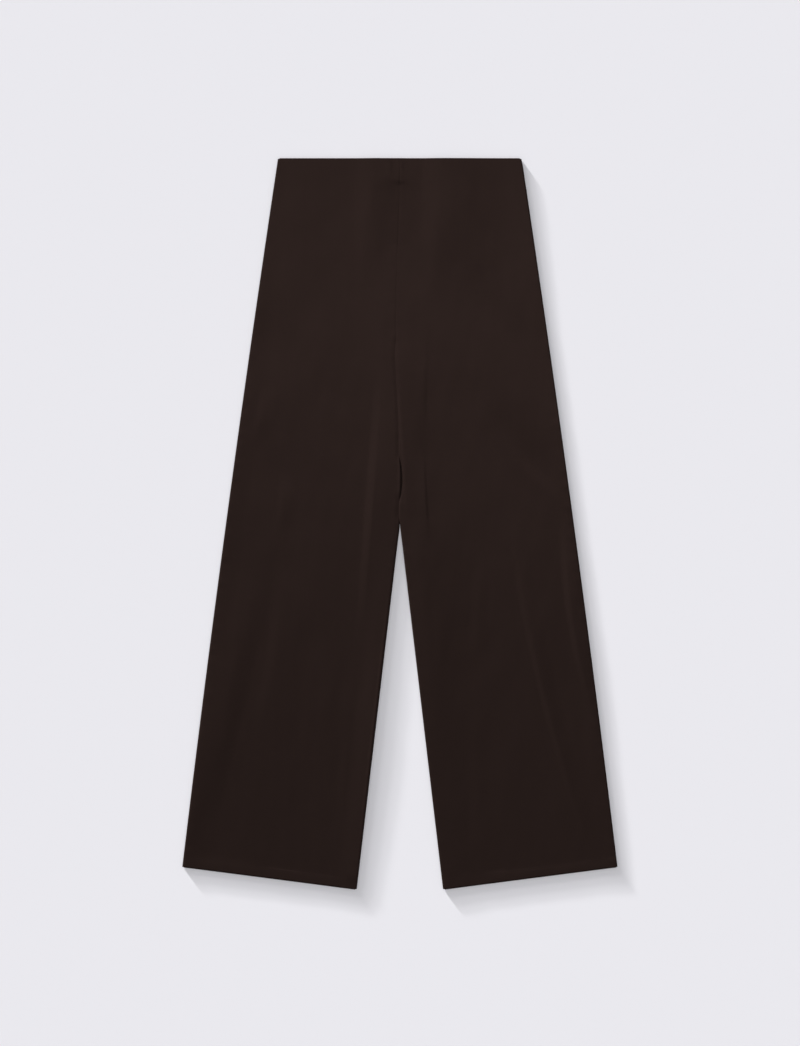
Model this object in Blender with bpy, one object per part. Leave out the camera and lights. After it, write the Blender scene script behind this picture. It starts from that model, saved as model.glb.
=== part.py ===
"""Palazzo pants in fine jersey, pressed and laid flat with the front up.

Metres, +Z up. The pants lie on the XY plane with the waist towards +Y, so the wearer's left
leg is on the +X side. The origin is the centre of the outline, on the surface beneath.

Each leg is a front and a back panel. A panel is one cut piece of cloth: its top edge is turned
in as the waist casing, its bottom edge is turned up as the hem, and its long edges curl over
to meet the other panel at the side seam and the inseam. The middle of each sheet is laid out
as rows of points from the sizes below, and a Solidify modifier gives it its thickness.
"""

import math
from collections import namedtuple

import bmesh
import bpy
from mathutils import Vector

# Cloth
CLOTH = 0.0012  # thickness of the jersey
GAP = 0.0003  # between two pieces that touch
LAYER = CLOTH + GAP  # from the middle of one layer to the middle of the next

# Outline of the laid garment. Depths are measured down from the waist edge.
WAIST_HALF = 0.1840  # centre line to side seam at the waist edge
HEM_HALF = 0.3289  # centre line to side seam at the hem
HIP_BOW = 0.0041  # how far the side seam bows outwards from a straight line
SIDE_LENGTH = 1.0720  # waist edge to hem down the side seam
INSIDE_LENGTH = 1.1054  # waist edge to hem at the inseam, measured straight down
SPLIT_DEPTH = 0.5534  # where the legs part
LEG_GAP_HALF = 0.0652  # centre line to inseam at the hem
CORNER_PULL = 0.0022  # the left end of the waist edge is drawn in by this
CORNER_DEPTH = 0.012  # down to here

# Centre seam and crotch
SEAM_END = 0.262  # the front seam stops here and the inner legs begin to curl under
CROTCH_DEPTH = 0.310  # the inner legs are fully curled from here down
SEAM_DRIFT = 0.0065  # the centre seam strays this far towards the wearer's right
DRIFT_END = 0.410  # and is back on the centre line here
SLIT_DEPTH = 0.483  # between crotch and split, the fronts fall apart round this depth
SLIT_REACH = 0.042  # above it and below it
SLIT_HALF = 0.0014  # each front draws back from the centre line by this

# Turned edges
CASING = 0.038  # waist casing, turned to the inside
HEM = 0.018  # hem, turned up to the inside
CASING_EASE = 0.070  # length over which the front settles down below the casing
HEM_EASE = 0.045  # the same above the hem

# Curled edges: a quarter of an ellipse from flat cloth, then straight down to the seam
EDGE_ROLL = 0.0030  # how wide the curl is
EDGE_LIP = 0.0003  # the straight end
BODY_RISE = 0.0015  # middle of the cloth above or below the seam, along the legs
END_RISE = 1.5 * LAYER  # the same over the casing and the hem, where four layers lie
LAID_GAP = 0.0005  # air between front and back away from the edges
EDGE_REACH = 0.024  # how far from a curled edge the front stays puffed up
CREASE_REACH = 0.005  # how far from a curled edge the creases fade out
PUFF_EASE = 0.045  # length over which the front rises from the seam to the curled inseam

# Small gathers under the elastic at the centre front
GATHER_COUNT = 3  # on each side of the seam
GATHER_PITCH = 0.010
GATHER_HEIGHT = 0.0011
GATHER_LENGTH = 0.044

# Rows and columns of the sheets
BEND_STEPS = 4  # round a turned edge
ROLL_STEPS = 3  # round a curled edge, and one more for its straight end
CASING_ROWS = (0.004, 0.014, 0.026, CASING)
HEM_ROWS = (HEM, 0.010, 0.004)
FRONT_ROWS = (
    (0.052, 0.068, 0.088, 0.112, 0.140, 0.170, 0.200, 0.232)
    + (SEAM_END, 0.278, 0.294, CROTCH_DEPTH, 0.330, 0.352, 0.376, 0.400, 0.424, 0.448)
    + (0.472, 0.496, 0.522, SPLIT_DEPTH, 0.584, 0.616, 0.650, 0.684, 0.718, 0.752)
    + (0.786, 0.820, 0.854, 0.888, 0.922, 0.956, 0.990, 1.020, 1.044, 1.066)
)
BACK_ROWS = (
    (0.052, 0.068, 0.088, 0.112, 0.180, SEAM_END, 0.278, 0.294, CROTCH_DEPTH)
    + (0.380, 0.450, SPLIT_DEPTH, 0.660, 0.780, 0.900, 1.010, 1.044, 1.066)
)
# Distances from the centre seam at the waist, between the two edges that may curl
FRONT_COLUMNS = (
    (0.005, 0.010, 0.015, 0.020, 0.025, 0.030, 0.038, 0.048, 0.060, 0.073)
    + (0.087, 0.101, 0.115, 0.129, 0.142, 0.154, 0.165, 0.174)
)
BACK_COLUMNS = (0.025, 0.075, 0.120, 0.160)

# Pressed creases of the front. Each runs in a curve from its top past a bend to its foot.
# x is from the centre line, towards the wearer's left; depth is below the waist edge;
# right and left are the widths of the flanks towards the wearer's right and left.
Fold = namedtuple("Fold", "top_x top_depth bend_x bend_depth foot_x foot_depth right left height")
RIGHT_LEG_FOLDS = (
    Fold(-0.034, 0.385, -0.042, 0.500, -0.060, 0.665, 0.014, 0.020, 0.0030),
    Fold(-0.060, 0.250, -0.066, 0.340, -0.064, 0.440, 0.030, 0.030, 0.0012),
    Fold(-0.205, 0.345, -0.208, 0.390, -0.220, 0.430, 0.012, 0.018, 0.0014),
    Fold(-0.176, 0.480, -0.178, 0.520, -0.184, 0.565, 0.011, 0.016, 0.0012),
    Fold(-0.170, 0.600, -0.176, 0.740, -0.216, 0.860, 0.016, 0.030, 0.0026),
    Fold(-0.208, 0.560, -0.256, 0.760, -0.306, 0.985, 0.022, 0.024, 0.0030),
    Fold(-0.112, 0.700, -0.106, 0.830, -0.116, 0.985, 0.026, 0.030, 0.0014),
    Fold(-0.088, 0.800, -0.084, 0.930, -0.094, 1.050, 0.014, 0.016, 0.0016),
)
LEFT_LEG_FOLDS = (
    Fold(-0.003, 0.262, 0.003, 0.396, 0.014, 0.548, 0.008, 0.012, 0.0022),
    Fold(0.027, 0.290, 0.030, 0.420, 0.042, 0.560, 0.017, 0.010, 0.0026),
    Fold(0.136, 0.380, 0.186, 0.470, 0.252, 0.515, 0.018, 0.022, 0.0020),
    Fold(0.246, 0.560, 0.266, 0.700, 0.292, 0.805, 0.010, 0.014, 0.0024),
    Fold(0.168, 0.585, 0.194, 0.760, 0.280, 1.020, 0.014, 0.026, 0.0034),
    Fold(0.112, 0.590, 0.118, 0.690, 0.114, 0.780, 0.016, 0.020, 0.0014),
    Fold(0.054, 0.620, 0.056, 0.700, 0.062, 0.790, 0.010, 0.014, 0.0014),
    Fold(0.112, 0.840, 0.116, 0.960, 0.128, 1.070, 0.018, 0.020, 0.0018),
)
FOLD_STEPS = 10  # straight pieces along each crease

CLOTH_COLOUR = (0.024, 0.0152, 0.0136, 1.0)
CLOTH_ROUGHNESS = 0.62

Station = namedtuple("Station", "from_waist leg_share inset")
Column = namedtuple("Column", "share inner_step side_step")
Panel = namedtuple("Panel", "name side up rows columns folds")

PANELS = (
    Panel("back_right_leg", -1, -1, BACK_ROWS, BACK_COLUMNS, ()),
    Panel("back_left_leg", 1, -1, BACK_ROWS, BACK_COLUMNS, ()),
    Panel("front_right_leg", -1, 1, FRONT_ROWS, FRONT_COLUMNS, RIGHT_LEG_FOLDS),
    Panel("front_left_leg", 1, 1, FRONT_ROWS, FRONT_COLUMNS, LEFT_LEG_FOLDS),
)


def ease(value, start, end):
    """0 before start, 1 after end, and a smooth rise between."""
    t = min(max((value - start) / (end - start), 0.0), 1.0)
    return t * t * (3.0 - 2.0 * t)


def hem_depth(share):
    """Depth of the hem edge, from the inseam (share 0) to the side seam (share 1)."""
    return INSIDE_LENGTH + (SIDE_LENGTH - INSIDE_LENGTH) * share


def side_edge(depth, side):
    """Distance of the side seam from the centre line."""
    t = depth / SIDE_LENGTH
    edge = WAIST_HALF + (HEM_HALF - WAIST_HALF) * t + 4.0 * HIP_BOW * t * (1.0 - t)
    if side > 0:
        edge -= CORNER_PULL * (1.0 - ease(depth, 0.0, CORNER_DEPTH))
    return edge


def inner_edge(depth, panel):
    """Distance of the panel's inner edge from the centre line, on its own side."""
    drift = SEAM_DRIFT * ease(depth, 0.0, SEAM_END) * (1.0 - ease(depth, SEAM_END, DRIFT_END))
    spread = max(depth - SPLIT_DEPTH, 0.0) * LEG_GAP_HALF / (INSIDE_LENGTH - SPLIT_DEPTH)
    if panel.up > 0:
        spread += SLIT_HALF * (1.0 - ease(abs(depth - SLIT_DEPTH), 0.0, SLIT_REACH))
    return spread - panel.side * drift


def inner_curl(depth):
    """How far the inner edge curls over: 0 down the centre seam, 1 down the inseam."""
    return ease(depth, SEAM_END, CROTCH_DEPTH)


def curled(step, curl):
    """(out, down, end) of a step across a curled edge, in parts of its width, height and lip."""
    flat = step / (ROLL_STEPS + 1)
    angle = 0.5 * math.pi * min(step / ROLL_STEPS, 1.0)
    out = flat + (math.sin(angle) - flat) * curl
    return out, (1.0 - math.cos(angle)) * curl, curl if step > ROLL_STEPS else 0.0


def fullness(depth, above_hem):
    """1 where the casing or the hem lies between front and back, 0 along the legs."""
    casing = 1.0 - ease(depth, CASING, CASING + CASING_EASE)
    hem = 1.0 - ease(above_hem, HEM, HEM + HEM_EASE)
    return max(casing, hem)


def curve_points(fold):
    """Points of a crease, on a quadratic curve drawn towards its bend."""
    top = Vector((fold.top_x, -fold.top_depth))
    bend = Vector((fold.bend_x, -fold.bend_depth))
    foot = Vector((fold.foot_x, -fold.foot_depth))
    points = []
    for step in range(FOLD_STEPS + 1):
        t = step / FOLD_STEPS
        points.append((1 - t) ** 2 * top + 2 * t * (1 - t) * bend + t**2 * foot)
    return points


def crease_height(fold, points, x, depth):
    """Height of one crease at a place, from its nearest point on the curve."""
    place = Vector((x, -depth))
    nearest = None
    for step, (start, end) in enumerate(zip(points, points[1:])):
        run = end - start
        t = min(max((place - start).dot(run) / run.length_squared, 0.0), 1.0)
        away = place - (start + run * t)
        if nearest is None or away.length < nearest[0]:
            nearest = (away.length, run.cross(away), (step + t) / FOLD_STEPS)
    distance, turn, along = nearest
    width = fold.left if turn > 0 else fold.right
    if distance >= width:
        return 0.0
    return fold.height * math.sin(math.pi * along) * (1.0 - (distance / width) ** 2) ** 2


def gather_height(x, depth):
    """Height of the small gathers that the elastic draws up at the centre front."""
    reach = GATHER_COUNT * GATHER_PITCH
    wave = 0.5 - 0.5 * math.cos(2.0 * math.pi * x / GATHER_PITCH)
    spread = 1.0 - ease(abs(x), reach - GATHER_PITCH, reach)
    return GATHER_HEIGHT * wave * spread * (1.0 - ease(depth, 0.25 * GATHER_LENGTH, GATHER_LENGTH))


def turned_edge(from_edge, steps):
    """(distance from the edge, inset) from the outer layer round a turned edge to the inner."""
    radius = 0.5 * LAYER
    bend = []
    for step in range(steps + 1):
        angle = math.pi * step / steps
        along = from_edge + radius * (1.0 - math.sin(angle))
        bend.append((along, radius * (1.0 - math.cos(angle))))
    return bend


def stations(rows):
    """The sheet's rows, from the casing's raw edge over the waist and down to the hem's."""
    found = [Station(depth, 0.0, LAYER) for depth in reversed(CASING_ROWS)]
    waist_bend = turned_edge(0.5 * CLOTH, BEND_STEPS)
    found += [Station(along, 0.0, inset) for along, inset in reversed(waist_bend)]
    found += [Station(depth, 0.0, 0.0) for depth in CASING_ROWS]
    found += [Station(0.0, depth / INSIDE_LENGTH, 0.0) for depth in rows]
    found += [Station(-above, 1.0, 0.0) for above in HEM_ROWS]
    hem_bend = turned_edge(0.5 * CLOTH, BEND_STEPS)
    found += [Station(-along, 1.0, inset) for along, inset in hem_bend]
    found += [Station(-above, 1.0, LAYER) for above in reversed(HEM_ROWS)]
    return found


def columns(distances):
    """The sheet's columns, from the inner edge's curl to the side seam's."""
    steps = range(1, ROLL_STEPS + 2)
    found = [Column(0.0, step, 0) for step in reversed(steps)] + [Column(0.0, 0, 0)]
    for distance in distances:
        share = (distance - EDGE_ROLL) / (WAIST_HALF - 2.0 * EDGE_ROLL)
        found.append(Column(share, 0, 0))
    found += [Column(1.0, 0, 0)] + [Column(1.0, 0, step) for step in steps]
    return found


def has_point(station, column):
    """False where a turned edge stops at a curl. The casing runs on to the centre seam."""
    at_waist = station.leg_share == 0.0
    return station.inset == 0.0 or column.side_step == 0 and (at_waist or column.inner_step == 0)


def sheet_point(panel, curves, station, column):
    """Place of one point of the middle of a panel's cloth."""
    hem = hem_depth(column.share)
    depth = station.from_waist + station.leg_share * hem
    full = fullness(depth, hem - depth)
    rise = BODY_RISE + (END_RISE - BODY_RISE) * full
    seam_height = 0.5 * CLOTH + rise

    curl = inner_curl(depth)
    wall = 0.5 * CLOTH * curl + 0.5 * GAP
    inner_flat = inner_edge(depth, panel) + wall + EDGE_ROLL
    outer_flat = side_edge(depth, panel.side) - 0.5 * CLOTH - EDGE_ROLL
    inner_out, inner_down, inner_end = curled(column.inner_step, curl)
    side_out, side_down, side_end = curled(column.side_step, 1.0)
    x = inner_flat + (outer_flat - inner_flat) * column.share
    x += EDGE_ROLL * (side_out - inner_out)

    fall = rise - 0.5 * GAP - EDGE_LIP
    above_seam = rise - station.inset - fall * (inner_down + side_down)
    z = seam_height + panel.up * (above_seam - EDGE_LIP * (inner_end + side_end))
    if panel.up > 0:
        from_side = ease(outer_flat - x, 0.0, EDGE_REACH)
        puffed = ease(depth, SEAM_END - PUFF_EASE, SEAM_END)
        from_inner = 1.0 - (1.0 - ease(x - inner_flat, 0.0, EDGE_REACH)) * puffed
        sag = 2.0 * BODY_RISE - CLOTH - LAID_GAP
        z -= sag * (1.0 - full) * from_side * from_inner
        held = curl * (1.0 - ease(x - inner_flat, 0.0, CREASE_REACH))
        free = (1.0 - held) * ease(outer_flat - x, 0.0, CREASE_REACH)
        crease = sum(crease_height(f, c, panel.side * x, depth) for f, c in curves)
        flat_hem = ease(hem - depth, 0.0, HEM + HEM_EASE)
        z += free * crease * flat_hem + gather_height(panel.side * x, depth)
    return Vector((panel.side * x, 0.5 * INSIDE_LENGTH - depth, z))


def cloth_material(name):
    """Very dark brown jersey with a faint sheen."""
    material = bpy.data.materials.new(name)
    material.use_nodes = True
    shader = material.node_tree.nodes["Principled BSDF"]
    shader.inputs["Base Color"].default_value = CLOTH_COLOUR
    shader.inputs["Roughness"].default_value = CLOTH_ROUGHNESS
    shader.inputs["Metallic"].default_value = 0.0
    return material


def add_panel(panel):
    """One cut piece of cloth as a named solid."""
    curves = [(fold, curve_points(fold)) for fold in panel.folds]
    across = columns(panel.columns)
    sheet = bmesh.new()
    grid = []
    for station in stations(panel.rows):
        row = {}
        for k, column in enumerate(across):
            if has_point(station, column):
                row[k] = sheet.verts.new(sheet_point(panel, curves, station, column))
        grid.append(row)
    for upper, lower in zip(grid, grid[1:]):
        for k in range(len(across) - 1):
            if all(k in row and k + 1 in row for row in (upper, lower)):
                sheet.faces.new((upper[k], lower[k], lower[k + 1], upper[k + 1]))
    mesh = bpy.data.meshes.new(panel.name)
    sheet.to_mesh(mesh)
    sheet.free()
    mesh.shade_smooth()
    mesh.materials.append(cloth_material(f"{panel.name}_jersey"))

    piece = bpy.data.objects.new(panel.name, mesh)
    bpy.context.collection.objects.link(piece)
    wall = piece.modifiers.new("cloth", "SOLIDIFY")
    wall.thickness = CLOTH
    wall.offset = 0.0
    wall.use_even_offset = True
    return piece


def clear_scene():
    """Removes whatever the scene holds."""
    for item in list(bpy.data.objects):
        bpy.data.objects.remove(item, do_unlink=True)


def main():
    """Builds the four leg panels."""
    clear_scene()
    for panel in PANELS:
        add_panel(panel)


main()
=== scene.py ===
"""Palazzo pants in fine dark brown jersey, pressed and laid flat with the front up.

Laid out as an add-on and run as a script. Metres, +Z up, waist towards +Y, and the wearer's
left leg on the +X side. Each leg is a front and a back sheet of jersey, worked out as rows of
points on the form of its CAD solid: the waist casing is turned in, the hem is turned up, the
long edges curl over to meet at the side seam and the inseam, and the pressed creases are laid
on top. Twin rows of stitches run along each hem.
"""

import math
from collections import namedtuple

import bpy
import numpy as np
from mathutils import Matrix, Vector, noise


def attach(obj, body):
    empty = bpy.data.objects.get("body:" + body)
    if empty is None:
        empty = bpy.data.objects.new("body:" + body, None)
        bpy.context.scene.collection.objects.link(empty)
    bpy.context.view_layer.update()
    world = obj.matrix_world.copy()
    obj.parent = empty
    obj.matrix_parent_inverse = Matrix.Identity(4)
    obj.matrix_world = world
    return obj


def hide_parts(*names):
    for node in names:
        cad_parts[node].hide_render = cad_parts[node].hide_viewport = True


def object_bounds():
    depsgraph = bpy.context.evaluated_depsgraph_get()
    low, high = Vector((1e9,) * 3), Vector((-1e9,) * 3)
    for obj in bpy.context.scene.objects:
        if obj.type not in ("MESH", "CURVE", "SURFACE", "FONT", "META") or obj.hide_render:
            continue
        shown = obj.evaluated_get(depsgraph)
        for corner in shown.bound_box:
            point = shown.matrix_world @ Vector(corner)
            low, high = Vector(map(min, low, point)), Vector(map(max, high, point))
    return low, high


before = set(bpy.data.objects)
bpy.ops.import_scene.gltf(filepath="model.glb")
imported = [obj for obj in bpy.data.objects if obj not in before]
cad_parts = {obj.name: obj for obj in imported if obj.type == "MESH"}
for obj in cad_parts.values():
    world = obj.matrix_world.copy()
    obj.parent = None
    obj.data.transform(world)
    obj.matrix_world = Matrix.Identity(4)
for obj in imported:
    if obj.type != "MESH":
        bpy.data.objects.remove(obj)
CAD_LOW, CAD_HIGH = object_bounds()

bl_info = {
    "name": "Palazzo Pants",
    "version": (1, 0, 0),
    "blender": (4, 5, 0),
    "location": "View3D > Sidebar > Pants",
    "description": "Builds palazzo pants in dark brown jersey, laid flat on a pale floor",
    "category": "Object",
}

BODY = "root"

# Outline of the laid garment. Depths are measured down from the waist edge.
END_SLACK = 0.0006  # the thin cloth ends this far inside its solid, at the waist and the hems
HALF_LENGTH = CAD_HIGH.y - END_SLACK
INSIDE_LENGTH = CAD_HIGH.y - CAD_LOW.y - 2.0 * END_SLACK  # waist edge to hem at the inseam
HEM_SLANT = 0.0334  # the hem runs up by this from the inseam to the side seam
SIDE_LENGTH = INSIDE_LENGTH - HEM_SLANT  # waist edge to hem down the side seam
WAIST_HALF = 0.1840  # centre line to side seam at the waist edge
HEM_HALF = CAD_HIGH.x  # centre line to side seam at the hem
HIP_BOW = 0.0041  # how far the side seam bows outwards from a straight line
SPLIT_DEPTH = 0.5528  # where the legs part
LEG_GAP_HALF = 0.0652  # centre line to inseam at the hem
CORNER_PULL = 0.0007  # the left end of the waist edge is drawn in by this
CORNER_DEPTH = 0.012  # down to here

# Centre seam and crotch
SEAM_END = 0.262  # the front seam stops here and the inner legs begin to curl under
CROTCH_DEPTH = 0.310  # the inner legs are fully curled from here down
SEAM_DRIFT = 0.0065  # the centre seam strays this far towards the wearer's right
DRIFT_END = 0.410  # and is back on the centre line here
LAP = 0.0022  # below the seam the left front laps this far over the right one
LAP_EASE = 0.050  # length over which the lap begins
LAP_FADE = 0.012  # and over which it ends, just above the split
SLIT_DEPTH = 0.484  # between crotch and split, the fronts fall apart round this depth
SLIT_REACH = 0.036  # above it and below it
SLIT_OPEN = 0.6  # share of that reach in which they don't lap at all
SLIT_LEFT = 0.0025  # the left front's edge strays this far from the centre line there
SLIT_RIGHT = -0.0022  # and the right front's, which crosses it

# Turned edges
CASING = 0.038  # waist casing, turned to the inside
HEM = 0.018  # hem, turned up to the inside
CASING_EASE = 0.150  # length over which the front settles down below the casing
HEM_EASE = 0.022  # the same above the hem edge
HEM_SETTLE = 0.3  # share of the settling that is left at the hem edge
HEM_STILL = 0.004  # the creases end this far above the hem edge
HEM_CALM = 0.022  # and have their full height from here up
CASING_INSET = 0.0014  # outer layer to inner layer, with the elastic between them
HEM_INSET = 0.00088  # the same in the hem, with nothing between
HEM_STEP_EASE = 0.0030  # length of the step up over the turned hem
HEM_STEP_FADE = 0.010  # the step fades out over this length at each end

# Heights of the middle of the cloth above and below the seam between front and back
BODY_RISE = 0.00155  # along the legs
CASING_RISE = 0.00190  # over the waist casing
HEM_RISE = 0.00160  # over the hem
SAG = 0.0006  # how far the front settles between its edges
EDGE_ROLL = 0.0020  # width of a curled edge
EDGE_LIP = 0.0002  # straight end of a curled edge
SEAM_GAP = 0.0002  # between two sheets at a seam
CENTRE_GAP = 0.00004  # between the two fronts or the two backs, where they are sewn
SIDE_REACH = 0.030  # how far from the side seam the front stays puffed up
INNER_REACH = 0.060  # and how far from the curled inner edge
PUFF_EASE = 0.200  # length over which the front rises from the seam to the curled inseam

# Where the two fronts meet
DITCH = 0.00012  # depth of the centre seam's ditch
DITCH_RIGHT = 0.0026  # its width towards the wearer's right
DITCH_LEFT = 0.0060  # and towards the wearer's left
TUCK = 0.0004  # the right leg's edge lies this much lower where it is lapped over
TUCK_REACH = 0.006  # as far in as this
TUCK_ROLL = 0.0012  # its curl is this narrow from crotch to split
LAP_ROLL = 0.0032  # and the left leg's curl, which leans over it, this wide
LAP_TIP = 0.0016  # the lapping edge ends this far above the seam between front and back
LAP_LIFT = 0.0008  # the left leg's edge stands this much higher from the crotch down
LAP_REACH = 0.006  # as far in as this
LAP_DROP = 0.060  # and the height falls to nothing over this width
LIFT_START = 0.180  # the lift grows from this depth
LIFT_FULL = 0.430  # to this
LIFT_EASE = 0.500  # eases off from here
LIFT_END = 0.950  # and is gone again here
SPLIT_EASE = 0.040  # length over which both curls change back at the split

# Hem stitching, in parts of the thread's thickness
GROOVE_REACH = 1.6  # from the middle of the groove below a row of stitches to its side
GROOVE_DEPTH = 0.10
STITCH_SINK = 0.36  # the middle of a stitch lies this far below the cloth's face
STITCH_SIDES = 6  # of the thread, and steps along a stitch

# Rows and columns of the sheets. Rows are measured from the waist edge or from the hem edge.
BEND_STEPS = 8  # round a turned edge
ROLL_STEPS = 6  # round a curled edge, and one more for its straight end
CURVE_STEPS = 12  # straight pieces along a crease
TURNED_START = 0.004  # first row of a turned-in layer
CASING_PITCH = 0.008  # of such rows in the casing
HEM_PITCH = 0.0047  # and in the hem
OUTER_START = 0.003  # first row of the outer layer
WAIST_END = 0.042  # end of the close rows at the waist
WAIST_DENSITY = 0.6  # their pitch, as a share of the usual one
LEG_START = 0.046  # first row of the leg
LEG_END = 0.040  # and its last one, above the hem edge
HEM_START = 0.036  # start of the close rows at the hem
HEM_OUTER_PITCH = 0.0027
INNER_WIDTH = 0.034  # width of the close columns along the inner edge
INNER_DENSITY = 0.65  # their pitch, as a share of the usual one
SMOOTH_ANGLE = 50.0  # edges that turn by more degrees than this stay sharp
CLOTH_MAP = "cloth"  # flat places of the cloth, in metres

# Pressed creases. Each runs in a curve from its top past a bend to its foot. x is from the
# centre line, towards the wearer's left; depth is below the waist edge; right and left are
# the widths of the flanks towards the wearer's right and left; peak is how far down the crease
# is highest, from 0 to 1; crisp is 0 for a soft round ridge and 1 for a sharp one.
Crease = namedtuple(
    "Crease", "top_x top_depth bend_x bend_depth foot_x foot_depth right left height peak crisp"
)
RIGHT_LEG_CREASES = (
    Crease(-0.040, -0.160, -0.036, 0.040, -0.044, 0.250, 0.030, 0.070, 0.0018, 0.5, 0.0),
    Crease(-0.016, -0.004, -0.016, 0.010, -0.015, 0.034, 0.009, 0.006, 0.0003, 0.4, 0.3),
    Crease(-0.026, 0.310, -0.038, 0.500, -0.061, 0.780, 0.0130, 0.056, 0.0023, 0.4, 0.3),
    Crease(0.000, 0.435, 0.0004, 0.480, -0.0010, 0.535, 0.0035, 0.002, 0.0006, 0.5, 0.3),
    Crease(-0.199, 0.335, -0.205, 0.390, -0.220, 0.440, 0.012, 0.026, 0.0005, 0.5, 0.1),
    Crease(-0.172, 0.470, -0.174, 0.520, -0.181, 0.575, 0.012, 0.022, 0.0005, 0.5, 0.1),
    Crease(-0.168, 0.550, -0.174, 0.740, -0.220, 0.920, 0.018, 0.050, 0.0005, 0.5, 0.1),
    Crease(-0.204, 0.540, -0.250, 0.780, -0.326, 1.070, 0.050, 0.034, 0.0014, 0.6, 0.0),
    Crease(-0.112, 0.680, -0.106, 0.830, -0.116, 1.010, 0.026, 0.030, 0.0003, 0.5, 0.0),
    Crease(-0.082, 0.780, -0.078, 0.930, -0.088, 1.070, 0.014, 0.020, 0.0003, 0.5, 0.1),
    Crease(-0.004, 0.480, -0.030, 0.850, -0.074, 1.240, 0.038, 0.010, 0.0020, 0.6, 0.0),
    Crease(-0.0030, 0.550, -0.0358, 0.830, -0.0700, 1.120, 0.004, 0.002, 0.0004, 0.5, 0.3),
)
LEFT_LEG_CREASES = (
    Crease(0.062, -0.160, 0.068, 0.030, 0.058, 0.250, 0.032, 0.100, 0.0024, 0.5, 0.0),
    Crease(0.001, -0.004, 0.001, 0.010, 0.003, 0.034, 0.009, 0.006, 0.0003, 0.4, 0.3),
    Crease(-0.0060, 0.250, 0.0015, 0.400, 0.0130, 0.560, 0.0038, 0.045, 0.0014, 0.55, 0.3),
    Crease(0.044, 0.230, 0.033, 0.340, 0.036, 0.430, 0.016, 0.006, 0.0003, 0.6, 0.2),
    Crease(0.035, 0.430, 0.0355, 0.500, 0.0440, 0.585, 0.016, 0.004, 0.0006, 0.6, 0.3),
    Crease(0.138, 0.360, 0.190, 0.472, 0.276, 0.510, 0.022, 0.070, -0.0005, 0.5, 0.0),
    Crease(0.250, 0.525, 0.243, 0.690, 0.308, 0.885, 0.009, 0.026, 0.0020, 0.5, 0.3),
    Crease(0.166, 0.520, 0.190, 0.760, 0.300, 1.080, 0.009, 0.022, 0.0018, 0.5, 0.3),
    Crease(0.116, 0.570, 0.122, 0.690, 0.118, 0.800, 0.014, 0.018, 0.0004, 0.5, 0.1),
    Crease(0.056, 0.600, 0.058, 0.700, 0.064, 0.810, 0.010, 0.018, 0.00015, 0.5, 0.1),
    Crease(0.112, 0.820, 0.116, 0.960, 0.128, 1.090, 0.018, 0.020, 0.0003, 0.5, 0.0),
    Crease(0.030, 0.480, 0.044, 0.750, 0.090, 1.200, 0.026, 0.080, 0.0010, 0.3, 0.0),
)
BACK_CREASES = (
    Crease(0.040, 0.350, 0.050, 0.500, 0.062, 0.700, 0.012, 0.024, 0.0005, 0.5, 0.2),
    Crease(0.196, 0.380, 0.204, 0.440, 0.214, 0.520, 0.012, 0.020, 0.0004, 0.5, 0.0),
    Crease(0.160, 0.560, 0.186, 0.720, 0.232, 0.900, 0.018, 0.026, 0.0005, 0.5, 0.2),
    Crease(0.110, 0.760, 0.108, 0.880, 0.122, 1.020, 0.020, 0.024, 0.0004, 0.5, 0.0),
)

# Broad swells and hollows of the front
Swell = namedtuple("Swell", "x depth across above below height")
SWELLS = (
    Swell(-0.004, 0.054, 0.050, 0.030, 0.150, -0.0008),
    Swell(0.015, 0.600, 0.090, 0.220, 0.450, 0.0010),
    Swell(-0.235, 0.900, 0.100, 0.200, 0.160, 0.0006),
    Swell(0.285, 0.930, 0.070, 0.180, 0.130, 0.0005),
)

# Unevenness as smooth noise: the width and the length of its waves, and its seed
Waves = namedtuple("Waves", "across down seed")
BROAD_WAVES = Waves(0.045, 0.120, 3.1)
FINE_WAVES = Waves(0.016, 0.050, 43.1)
FINE_SHARE = 0.5  # height of the fine waves as a share of the broad ones
FRONT_PUCKERS = Waves(0.030, 0.0075, 83.1)
BACK_PUCKERS = Waves(0.030, 0.0075, 12.3)
PUCKER_INNER = 0.014  # the puckers fade out over this width from the centre seam or inseam
PUCKER_SIDE = 0.016  # and over this width from the side seam
DITCH_WAVES = Waves(1.0, 0.045, 3.1)  # in the depth of the centre seam's ditch
DITCH_UNEVEN = 1.2  # their height, as a share of that depth

# Where the turned-up edge shows through the front, a low step runs across, in broken
# lengths. Heights are above the hem edge, and raised is the height of the step.
HemStep = namedtuple("HemStep", "start_x start_height end_x end_height raised")
HEM_STEPS = (
    HemStep(-0.306, 0.0228, -0.222, 0.0188, 0.00009),
    HemStep(-0.205, 0.0166, -0.142, 0.0152, 0.00009),
    HemStep(-0.134, 0.0150, -0.090, 0.0146, 0.00005),
    HemStep(0.080, 0.0186, 0.112, 0.0182, 0.00005),
    HemStep(0.122, 0.0180, 0.166, 0.0162, 0.00009),
    HemStep(0.176, 0.0152, 0.222, 0.0118, 0.00005),
    HemStep(0.230, 0.0112, 0.268, 0.0096, 0.00009),
    HemStep(0.286, 0.0088, 0.318, 0.0080, 0.00009),
)

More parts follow.
